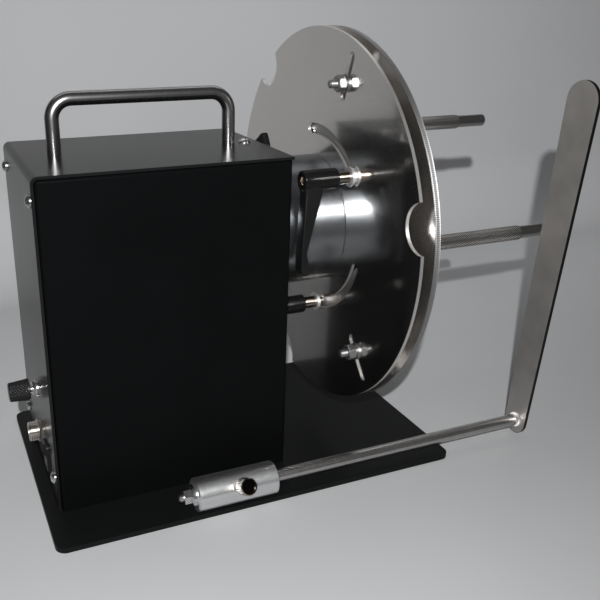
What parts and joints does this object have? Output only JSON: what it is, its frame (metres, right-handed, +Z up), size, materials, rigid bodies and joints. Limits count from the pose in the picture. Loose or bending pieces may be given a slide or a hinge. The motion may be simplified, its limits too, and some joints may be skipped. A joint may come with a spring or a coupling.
{
  "type": "label rewinder",
  "caption": "Bench label rewinder: black housing on a plate, driven disc chuck with spreading grip pins, and a sliding, swinging guide bar.",
  "frame": {"origin": "middle of the base plate's underside", "axes": "+X along the spindle from the housing to the pins, +Y to the back, +Z up"},
  "size_m": [0.4397, 0.3, 0.3384],
  "materials": {
    "black_sheet": "satin powder coat",
    "zinc_steel": "bright zinc plate",
    "polished_rod": "polished",
    "turned_steel": "turned and knurled",
    "polished_aluminium": "polished",
    "drawn_rod": "drawn bright",
    "brushed_bar": "ground with fine grain",
    "black_grip": "fine textured",
    "nickel": "nickel plate",
    "motor_paint": "black paint",
    "board": "lacquered",
    "brass": "plain"
  },
  "bodies": {
    "stand": {"base_plate": "black_sheet", "chassis": "black_sheet", "cover": "black_sheet", "cover_screws": "zinc_steel", "chassis_screws": "zinc_steel", "carry_handle": "polished_rod", "handle_screws": "zinc_steel", "bearing_unit": "motor_paint", "bearing_screws": "zinc_steel", "standoffs": "zinc_steel", "standoff_screws": "zinc_steel", "motor_plate": "polished_aluminium", "gear_motor": "motor_paint", "motor_screws": "zinc_steel", "speed_pot": "board", "pot_nut": "zinc_steel", "supply_socket": "nickel", "socket_nut": "zinc_steel", "rocker_frame": "black_grip", "control_board": "board", "board_posts": "brass", "guide_sleeve": "polished_aluminium", "sleeve_screws": "zinc_steel"},
    "chuck": {"motor_shaft": "turned_steel", "shaft_coupling": "polished_aluminium", "spindle_shaft": "turned_steel", "hub": "polished_aluminium", "hub_screws": "zinc_steel", "rear_disc": "polished_aluminium", "front_disc": "polished_aluminium", "end_cap": "polished_aluminium", "end_screw": "turned_steel"},
    "cam": {"cam_plate": "polished_aluminium", "lever_washers": "zinc_steel"},
    "knob": {"speed_knob": "black_grip", "pot_shaft": "turned_steel"},
    "switch": {"rocker": "black_grip"},
    "guide_slider": {"stop_washer": "zinc_steel"},
    "guide_arm": {"guide_rod": "drawn_rod", "guide_bar": "brushed_bar", "stop_nut": "zinc_steel"},
    "thumb": {"thumb_screw": "turned_steel"},
    "lever_1": {"lever_1": "black_grip", "lever_insert_1": "turned_steel"},
    "pin_1": {"pin_slider_1": "turned_steel", "grip_pin_1": "turned_steel"},
    "spacer_1": {"slot_bolt_1": "zinc_steel", "slot_nut_1": "zinc_steel"},
    "lever_2": {"lever_2": "black_grip", "lever_insert_2": "turned_steel"},
    "pin_2": {"pin_slider_2": "turned_steel", "grip_pin_2": "turned_steel"},
    "spacer_2": {"slot_bolt_2": "zinc_steel", "slot_nut_2": "zinc_steel"},
    "lever_3": {"lever_3": "black_grip", "lever_insert_3": "turned_steel"},
    "pin_3": {"pin_slider_3": "turned_steel", "grip_pin_3": "turned_steel"},
    "spacer_3": {"slot_bolt_3": "zinc_steel", "slot_nut_3": "zinc_steel"}
  },
  "joints": [
    {"name": "spindle_turn", "type": "hinge", "parent": "stand", "child": "chuck", "pos_m": [0, 0.0051, 0.1884], "axis": [1, 0, 0], "continuous": true},
    {"name": "cam_turn", "type": "hinge", "parent": "chuck", "child": "cam", "pos_m": [0.09, 0.0051, 0.1884], "axis": [1, 0, 0], "range_deg": [-60, 0]},
    {"name": "pin_1_slide", "type": "slide", "parent": "chuck", "child": "pin_1", "axis": [0, 0.3584, 0.9336], "range_m": [-0.0332, 0]},
    {"name": "lever_1_turn", "type": "hinge", "parent": "cam", "child": "lever_1", "pos_m": [0.06, -0.05085, 0.23371], "axis": [1, 0, 0], "range_deg": [-80, 0]},
    {"name": "spacer_1_slide", "type": "slide", "parent": "chuck", "child": "spacer_1", "axis": [0, -0.3338, 0.9426], "range_m": [-0.0103, 0.0202]},
    {"name": "pin_2_slide", "type": "slide", "parent": "chuck", "child": "pin_2", "axis": [0, -0.9877, -0.1564], "range_m": [-0.0332, 0]},
    {"name": "lever_2_turn", "type": "hinge", "parent": "cam", "child": "lever_2", "pos_m": [0.06, -0.00616, 0.11729], "axis": [1, 0, 0], "range_deg": [-80, 0]},
    {"name": "spacer_2_slide", "type": "slide", "parent": "chuck", "child": "spacer_2", "axis": [0, -0.6494, -0.7604], "range_m": [-0.0103, 0.0202]},
    {"name": "pin_3_slide", "type": "slide", "parent": "chuck", "child": "pin_3", "axis": [0, 0.6293, -0.7771], "range_m": [-0.0332, 0]},
    {"name": "lever_3_turn", "type": "hinge", "parent": "cam", "child": "lever_3", "pos_m": [0.06, 0.07232, 0.2142], "axis": [1, 0, 0], "range_deg": [-80, 0]},
    {"name": "spacer_3_slide", "type": "slide", "parent": "chuck", "child": "spacer_3", "axis": [0, 0.9833, -0.1822], "range_m": [-0.0103, 0.0202]},
    {"name": "knob_turn", "type": "hinge", "parent": "stand", "child": "knob", "pos_m": [-0.1535, 0.0051, 0.075], "axis": [1, 0, 0], "range_deg": [-150, 150]},
    {"name": "switch_tip", "type": "hinge", "parent": "stand", "child": "switch", "pos_m": [-0.1525, -0.0269, 0.034], "axis": [0, 1, 0], "range_deg": [0, 18]},
    {"name": "guide_slide", "type": "slide", "parent": "stand", "child": "guide_slider", "axis": [1, 0, 0], "range_m": [-0.125, 0]},
    {"name": "guide_swing", "type": "hinge", "parent": "guide_slider", "child": "guide_arm", "pos_m": [0, -0.0928, 0.0159], "axis": [1, 0, 0], "range_deg": [-3, 86]},
    {"name": "thumb_turn", "type": "hinge", "parent": "stand", "child": "thumb", "pos_m": [-0.0258, -0.0928, 0.0159], "axis": [0, -0.866, 0.5], "range_deg": [0, 360]}
  ],
  "couplings": [
    {"joint": "pin_1_slide", "follows": "cam_turn", "m_per_rad": 0.031704},
    {"joint": "pin_2_slide", "follows": "cam_turn", "m_per_rad": 0.031704},
    {"joint": "pin_3_slide", "follows": "cam_turn", "m_per_rad": 0.031704}
  ]
}
